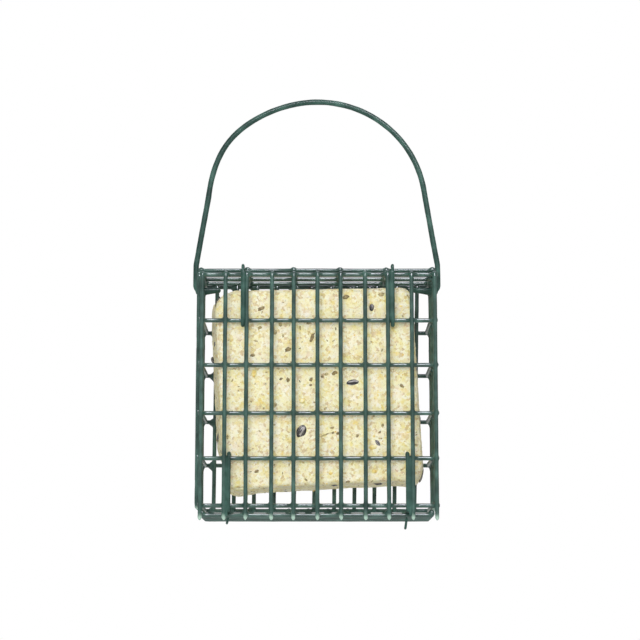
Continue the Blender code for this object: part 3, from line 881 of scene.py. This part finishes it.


# Door: the front panel, a welded mesh like the back's with its uprights outside, hung on two clips.
# Some uprights were welded off their pitch. The coat ran down them and set as drips on their ends, which are
# painted pale as if lit from below.
door_low, door_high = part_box("door_panel")
door_upright_y = door_low.y + WIRE_RADIUS
door_cross_y = door_high.y - WIRE_RADIUS
DOOR_TOP_CROSS = 131.4 * MM
DOOR_SHIFT = 1.0 * MM
OFF_PITCH = {2: -1.1 * MM, 4: -0.8 * MM, 5: -0.6 * MM, 6: -0.6 * MM, 8: -0.3 * MM}
door_uprights = []
for i in range(UPRIGHTS):
    x = DOOR_SHIFT + HALF_INCH * (i - MIDDLE_UPRIGHT) + OFF_PITCH.get(i, 0.0)
    door_uprights.append(((x, door_upright_y, door_low.z), (x, door_upright_y, door_high.z)))
door_crosswise = []
for height in CROSS_HEIGHTS + [DOOR_TOP_CROSS]:
    z = CAGE_ZERO_Z + height
    door_crosswise.append(((door_low.x, door_cross_y, z), (door_high.x, door_cross_y, z)))
door_bm = panel_form(door_uprights, door_crosswise)
# Coat gathered at the top of the two uprights that the latches lie beside.
LATCHED_UPRIGHTS = (2, 8)
TOP_BLOB = 2.5 * MM
TOP_BLOB_STRETCH = (1.1, 0.75, 0.9)
for i in LATCHED_UPRIGHTS:
    blob_x = door_uprights[i][0][0]
    blob = Vector((blob_x, (door_upright_y + door_cross_y) / 2, CAGE_ZERO_Z + DOOR_TOP_CROSS))
    add_ball(door_bm, blob, TOP_BLOB, fineness=3, stretch=TOP_BLOB_STRETCH)
# A drip on each lower end, round above and pointed below. No two are alike in size, place or length.
DRIP_RADIUS = 1.3 * MM
DRIP_SIZES = (0.85, 1.05)
DRIP_ASIDE = 0.15 * MM
DRIP_HANG = (0.1 * MM, 0.3 * MM)
DRIP_STRETCH = (1.1, 1.5)
DRIP_TIP = 0.3 * MM
DRIP_NECK = 0.77 * MM
DRIP_POINT = 1.6 * MM
for end, _ in door_uprights:
    radius = DRIP_RADIUS * draw.uniform(*DRIP_SIZES)
    aside = draw.uniform(-DRIP_ASIDE, DRIP_ASIDE)
    middle = Vector(end) + Vector((aside, 0, radius - draw.uniform(*DRIP_HANG)))
    add_ball(door_bm, middle, radius, stretch=(1.0, 1.0, draw.uniform(*DRIP_STRETCH)))
    bmesh.ops.create_cone(
        door_bm,
        cap_ends=True,
        segments=10,
        radius1=DRIP_TIP,
        radius2=DRIP_NECK,
        depth=DRIP_POINT,
        matrix=Matrix.Translation(middle - Vector((0, 0, radius))),
    )
door = add_coated("door_panel", door_bm, "door")
# The drips' ends are painted pale: painted light, as if lit from below.
DRIP_PAINTED_UNDERLIGHT_TOP = 2.6 * MM
DRIP_PAINTED_UNDERLIGHT_FADE = 1.8 * MM
set_painted_underlight(door, door_low.z, DRIP_PAINTED_UNDERLIGHT_TOP, DRIP_PAINTED_UNDERLIGHT_FADE)


# Hinge clips: bent from lighter wire, hooked over two door wires and the bottom front wire.
# They were dipped with the door, so the coat joins each to the upright beside it.
CLIP_RADIUS = 1.1 * MM
GAP = 0.3 * MM
CLIP_PLACES = {"left": -47.2 * MM, "right": 48.9 * MM}
CLIP_END_BELOW = 1.5 * MM
# The tail is the clip's cut end, which hangs below the cage and leans to the left.
CLIP_TAILS = {"left": 4.8 * MM, "right": 7.6 * MM}
TAIL_RADIUS = 0.75 * MM
TAIL_LEAN = 1.3 * MM
TAIL_OVERLAP = 1.0 * MM
# The bridge is the coat between the clip and the upright.
BRIDGE_RADIUS = 1.1 * MM
BRIDGE_WOBBLE = 0.1 * MM
BRIDGE_PROUD = 0.1 * MM
BRIDGE_BELOW = 6.0 * MM
BRIDGE_ABOVE = 0.8 * MM
# Bent fittings are drawn finer than the panels, and so is the skin of their coat.
FITTING_STEP = 0.7 * MM
FITTING_WOBBLE = 0.05 * MM
FITTING_VOXEL = 0.36 * MM
FITTING_KEPT_SHARE = 0.5


def arc(centre, radius, start_degrees, end_degrees, steps):
    """Points on an arc in the side view, angles counted from +Y towards +Z."""
    points = []
    for i in range(steps + 1):
        turn = math.radians(start_degrees + (end_degrees - start_degrees) * i / steps)
        points.append((centre[0] + radius * math.cos(turn), centre[1] + radius * math.sin(turn)))
    return points


def nearest_upright(x):
    """How far across the door's upright nearest to a place stands."""
    return min((foot[0] for foot, _ in door_uprights), key=lambda other: abs(other - x))


hinge_y = depth_wires_y[0]
clip_ring = WIRE_RADIUS + CLIP_RADIUS + GAP
upper = (door_cross_y, CAGE_ZERO_Z + CROSS_HEIGHTS[1])
lower = (door_cross_y, CAGE_ZERO_Z + CROSS_HEIGHTS[0])
hinge = (hinge_y, CAGE_ZERO_Z)
apart = math.hypot(hinge[0] - lower[0], hinge[1] - lower[1])
towards = math.degrees(math.atan2(hinge[1] - lower[1], hinge[0] - lower[0]))
leave = towards - math.degrees(math.acos(2 * clip_ring / apart))
clip_outline = [(upper[0] + clip_ring, upper[1] - CLIP_END_BELOW)]
clip_outline += arc(upper, clip_ring, 0, 180, 16)
clip_outline += arc(lower, clip_ring, 180, 360 + leave, 10)
clip_outline += arc(hinge, clip_ring, 180 + leave, 0, 10)
for label, x in CLIP_PLACES.items():
    clip_bm = bmesh.new()
    route = [(x, y, z) for y, z in clip_outline]
    add_wire(clip_bm, route, CLIP_RADIUS + SMOOTHING_LOSS, FITTING_STEP, wobble=FITTING_WOBBLE)
    bridge_x = (x + nearest_upright(x)) / 2
    bridge_y = door_upright_y - BRIDGE_PROUD
    bridge = [(bridge_x, bridge_y, lower[1] - BRIDGE_BELOW), (bridge_x, bridge_y, upper[1] + BRIDGE_ABOVE)]
    add_wire(clip_bm, bridge, BRIDGE_RADIUS, wobble=BRIDGE_WOBBLE)
    tail_y = hinge[0] + clip_ring
    tail = [(x, tail_y, hinge[1] + TAIL_OVERLAP), (x - TAIL_LEAN, tail_y, hinge[1] - CLIP_TAILS[label])]
    add_wire(clip_bm, tail, TAIL_RADIUS, FITTING_STEP, wobble=FITTING_WOBBLE)
    add_coated("hinge_clip_" + label, clip_bm, "door", rubbed_vinyl, FITTING_VOXEL, FITTING_KEPT_SHARE)


# Latches: bent from the same wire, an eye round a door wire, a shank, and a hook over the top front wire.
# The eyes turn, so their coat is their own. It is thick on the shank, and on its side towards the upright.
LATCH_PLACES = {"left": -40.4 * MM, "right": 41.5 * MM}
EYE_PLAY = 0.05 * MM
EYE_RADIUS = WIRE_RADIUS + CLIP_RADIUS + GAP + EYE_PLAY
# The shank runs down into the eye, which goes on round the door wire until it nearly meets the shank again.
SHANK_BELOW_HOOK = 2.5 * MM
SHANK_MIDDLE_ABOVE_EYE = 14 * MM
EYE_START_DEGREES = 180
EYE_END_DEGREES = 435
# The hook is pressed flatter than the shank, lies lower on the cage's wire, and turns up a little at its tip.
HOOK_RADIUS = 0.85 * MM
HOOK_LOWER = 0.4 * MM
HOOK_BEND = 1.7 * MM
HOOK_RISE = 0.2 * MM
HOOK_FLAT_BEHIND = 1.0 * MM
HOOK_TIP_BEHIND = 2.9 * MM
HOOK_SHANK_LENGTH = 4.0 * MM
# Thick coat on the shank, shifted towards the upright.
SHANK_COAT = 1.35 * MM
SHANK_COAT_SHIFT = 0.45 * MM
SHANK_COAT_BEHIND = 0.1 * MM
SHANK_COAT_BELOW_EYE = 1.0 * MM
SHANK_COAT_BELOW_HOOK = 3.0 * MM
# Coat that tore off the upright when the latch was first opened stays on the shank and fills the crease.
CREASE_RADIUS = 0.7 * MM
CREASE_FROM_UPRIGHT = 1.3 * MM
CREASE_PROUD = 0.25 * MM
CREASE_ABOVE_EYE = 2.0 * MM
CREASE_BELOW_HOOK = 3.5 * MM
cage_top_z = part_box("top_panel")[0].z + WIRE_RADIUS
hook_z = cage_top_z + WIRE_RADIUS + CLIP_RADIUS + GAP - HOOK_LOWER
eye = (door_cross_y, CAGE_ZERO_Z + CROSS_HEIGHTS[4])
shank_y = eye[0] - EYE_RADIUS
hook_outline = [(hinge_y + HOOK_TIP_BEHIND, hook_z + HOOK_RISE), (hinge_y + HOOK_FLAT_BEHIND, hook_z)]
hook_outline += arc((shank_y + HOOK_BEND, hook_z - HOOK_BEND), HOOK_BEND, 90, 180, 8)
hook_outline += [(shank_y, hook_z - HOOK_SHANK_LENGTH)]
eye_outline = [(shank_y, hook_z - SHANK_BELOW_HOOK), (shank_y, eye[1] + SHANK_MIDDLE_ABOVE_EYE)]
eye_outline += arc(eye, EYE_RADIUS, EYE_START_DEGREES, EYE_END_DEGREES, 28)
for label, x in LATCH_PLACES.items():
    latch_bm = bmesh.new()
    for outline, radius in ((hook_outline, HOOK_RADIUS), (eye_outline, CLIP_RADIUS)):
        route = [(x, y, z) for y, z in outline]
        add_wire(latch_bm, route, radius + SMOOTHING_LOSS, FITTING_STEP, FINE_SIDES, FITTING_WOBBLE)
    nearest = nearest_upright(x)
    coat_x = x + math.copysign(SHANK_COAT_SHIFT, nearest - x)
    coat_y = shank_y + SHANK_COAT_BEHIND
    coat_foot = (coat_x, coat_y, eye[1] - SHANK_COAT_BELOW_EYE)
    coat_top = (coat_x, coat_y, hook_z - SHANK_COAT_BELOW_HOOK)
    add_wire(latch_bm, [coat_foot, coat_top], SHANK_COAT, sides=FINE_SIDES)
    crease_x = nearest + math.copysign(CREASE_FROM_UPRIGHT, x - nearest)
    crease_y = shank_y - CREASE_PROUD
    crease_foot = (crease_x, crease_y, eye[1] + CREASE_ABOVE_EYE)
    crease_top = (crease_x, crease_y, hook_z - CREASE_BELOW_HOOK)
    add_wire(latch_bm, [crease_foot, crease_top], CREASE_RADIUS)
    body = "latch_" + label
    add_coated(body, latch_bm, body, rubbed_vinyl, FITTING_VOXEL, FITTING_KEPT_SHARE)


# Studio: a pale floor well below the hanging feeder, a white surround, and three soft lamps.
# The floor fades to the surround's white away from the feeder, so that no horizon shows.
# The floor's half width, the fade's distances and the lamps' places and sizes are in metres.
FLOOR_DROP = 190 * MM
FLOOR_HALF = 4.0
floor_z = cad_box[0].z - FLOOR_DROP
corners = [(x * FLOOR_HALF, y * FLOOR_HALF, floor_z) for x, y in ((-1, -1), (1, -1), (1, 1), (-1, 1))]
floor_mesh = bpy.data.meshes.new("floor")
floor_mesh.from_pydata(corners, [], [(0, 1, 2, 3)])
floor = add_object("floor", floor_mesh)


def seen_rays(tree, glossy_share):
    """One for a camera or transmission ray, the share for a glossy one, and nothing for the others."""
    ray = add_node(tree, "ShaderNodeLightPath")
    kinds = {0: ray.outputs["Is Camera Ray"], 1: ray.outputs["Is Transmission Ray"]}
    seen = add_node(tree, "ShaderNodeMath", kinds, operation="MAXIMUM")
    glossy = add_node(
        tree, "ShaderNodeMath", {0: ray.outputs["Is Glossy Ray"], 1: glossy_share}, operation="MULTIPLY"
    )
    return add_node(tree, "ShaderNodeMath", {0: seen, 1: glossy}, operation="ADD")


# The floor is grey in the gloss of the coat, and white to the eye once it is away from the feeder.
FLOOR_IN_GLOSS = 0.08
FADE_FROM = 0.15
FADE_TO = 0.75
paper, tree, shader = start_material("white_paper_sweep")
shader.inputs["Base Color"].default_value = linear("#F1F1EF")
shader.inputs["Roughness"].default_value = 0.9
paper_place = add_node(tree, "ShaderNodeTexCoord").outputs["Object"]
away = add_node(tree, "ShaderNodeVectorMath", {0: paper_place, 1: (0, 0, floor_z)}, operation="DISTANCE")
fade = add_node(
    tree,
    "ShaderNodeMapRange",
    {"Value": away.outputs["Value"], "From Min": FADE_FROM, "From Max": FADE_TO},
    interpolation_type="SMOOTHSTEP",
)
white_part = add_node(
    tree, "ShaderNodeMath", {0: seen_rays(tree, FLOOR_IN_GLOSS), 1: fade}, operation="MULTIPLY"
)
glow = add_node(tree, "ShaderNodeEmission", {"Color": (1, 1, 1, 1), "Strength": 1.0})
sweep = add_node(tree, "ShaderNodeMixShader", {0: white_part, 1: shader, 2: glow})
tree.links.new(sweep.outputs[0], tree.nodes["Material Output"].inputs["Surface"])
floor_mesh.materials.append(paper)

# The surround is white to the eye and lights the feeder at less than white. In the gloss of the coat it is
# darker still, as a dark room with a white wall or two is, so its share of the way up to white is negative.
SURROUND_LIGHT = 0.66
SURROUND_IN_GLOSS = -0.8
world = bpy.data.worlds.new("surround")
bpy.context.scene.world = world
world.use_nodes = True
tree = world.node_tree
level = add_node(
    tree,
    "ShaderNodeMapRange",
    {"Value": seen_rays(tree, SURROUND_IN_GLOSS), "To Min": SURROUND_LIGHT, "To Max": 1.0},
    clamp=False,
)
background = tree.nodes["Background"]
background.inputs["Color"].default_value = (1, 1, 1, 1)
tree.links.new(level.outputs["Result"], background.inputs["Strength"])

# Each lamp: its place, width, height, watts, colour, whether it lights surfaces and whether its glint shows.
# The front one has a matt screen and only lights. The strip hangs over the camera and only draws
# the streaks on the crosswise wires. The top one stands behind and is a little cooler, as a window is.
LAMPS = {
    "front": ((-0.2, -1.2, 0.02), 0.6, 0.4, 6.8, "#FFFFFF", True, False),
    "strip": ((0.15, -0.95, 0.5), 0.6, 0.44, 27.0, "#F6F3FF", False, True),
    "top": ((0.1, 0.5, 0.9), 0.8, 0.4, 3.0, "#EDE8FA", True, True),
}
LAMP_AIM = Vector((0, 0, -0.15))
for name, (place, width, height, watts, tint, lights, glints) in LAMPS.items():
    lamp_data = bpy.data.lights.new(name, "AREA")
    lamp_data.shape = "RECTANGLE"
    lamp_data.size = width
    lamp_data.size_y = height
    lamp_data.energy = watts
    lamp_data.color = linear(tint)[:3]
    lamp = add_object(name, lamp_data)
    lamp.location = place
    lamp.rotation_euler = (LAMP_AIM - Vector(place)).to_track_quat("-Z", "Y").to_euler()
    lamp.visible_diffuse = lights
    lamp.visible_glossy = glints

bpy.context.scene.view_settings.view_transform = "Standard"
